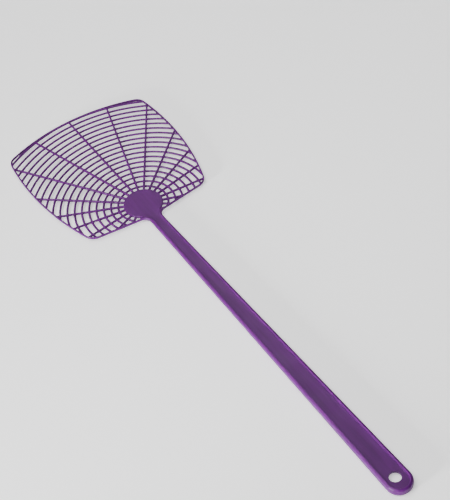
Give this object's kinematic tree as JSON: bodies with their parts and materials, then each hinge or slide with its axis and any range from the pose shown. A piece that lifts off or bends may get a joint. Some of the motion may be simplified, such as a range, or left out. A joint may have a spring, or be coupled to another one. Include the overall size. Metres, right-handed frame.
{
  "type": "fly swatter",
  "caption": "Moulded plastic fly swatter: a flat fan-shaped blade of spokes and rings on a long tapered handle with raised rims and a hang hole at the butt.",
  "frame": {"origin": "centre of the hang hole, on the moulding's mid plane", "axes": "+Y from the hang hole along the handle to the blade, +Z square to the blade, through the hang hole, +X to the right"},
  "size_m": [0.126, 0.442, 0.006],
  "materials": {
    "purple_polypropylene": "satin moulded"
  },
  "bodies": {
    "handle": {"handle_floor": "purple_polypropylene", "rim_left": "purple_polypropylene", "rim_right": "purple_polypropylene", "rim_butt": "purple_polypropylene", "neck_tip": "purple_polypropylene"},
    "blade": {"neck_root": "purple_polypropylene", "hub_disc": "purple_polypropylene", "frame_top": "purple_polypropylene", "frame_left": "purple_polypropylene", "frame_right": "purple_polypropylene", "frame_low_left": "purple_polypropylene", "frame_low_right": "purple_polypropylene", "corner_top_left": "purple_polypropylene", "corner_top_right": "purple_polypropylene", "corner_low_left": "purple_polypropylene", "corner_low_right": "purple_polypropylene", "spoke_01": "purple_polypropylene", "spoke_02": "purple_polypropylene", "spoke_03": "purple_polypropylene", "spoke_04": "purple_polypropylene", "spoke_05": "purple_polypropylene", "spoke_06": "purple_polypropylene", "spoke_07": "purple_polypropylene", "spoke_08": "purple_polypropylene", "spoke_09": "purple_polypropylene", "spoke_10": "purple_polypropylene", "spoke_11": "purple_polypropylene", "spoke_12": "purple_polypropylene", "spoke_13": "purple_polypropylene", "spoke_14": "purple_polypropylene", "spoke_15": "purple_polypropylene", "spoke_16": "purple_polypropylene", "spoke_17": "purple_polypropylene", "ring_01": "purple_polypropylene", "ring_02": "purple_polypropylene", "ring_03": "purple_polypropylene", "ring_04": "purple_polypropylene", "ring_05": "purple_polypropylene", "ring_06": "purple_polypropylene", "ring_07": "purple_polypropylene", "ring_08": "purple_polypropylene", "ring_09": "purple_polypropylene", "ring_10": "purple_polypropylene", "ring_11": "purple_polypropylene", "ring_12": "purple_polypropylene", "ring_13": "purple_polypropylene", "ring_14": "purple_polypropylene", "ring_15": "purple_polypropylene", "ring_16": "purple_polypropylene", "ring_17": "purple_polypropylene", "ring_18": "purple_polypropylene", "ring_19": "purple_polypropylene"}
  },
  "joints": [
    {"name": "neck_flex", "type": "hinge", "parent": "handle", "child": "blade", "pos_m": [0, 0.284, 0], "axis": [1, 0, 0], "range_deg": [-20, 20], "stiffness_Nm_per_rad": 0.6}
  ]
}
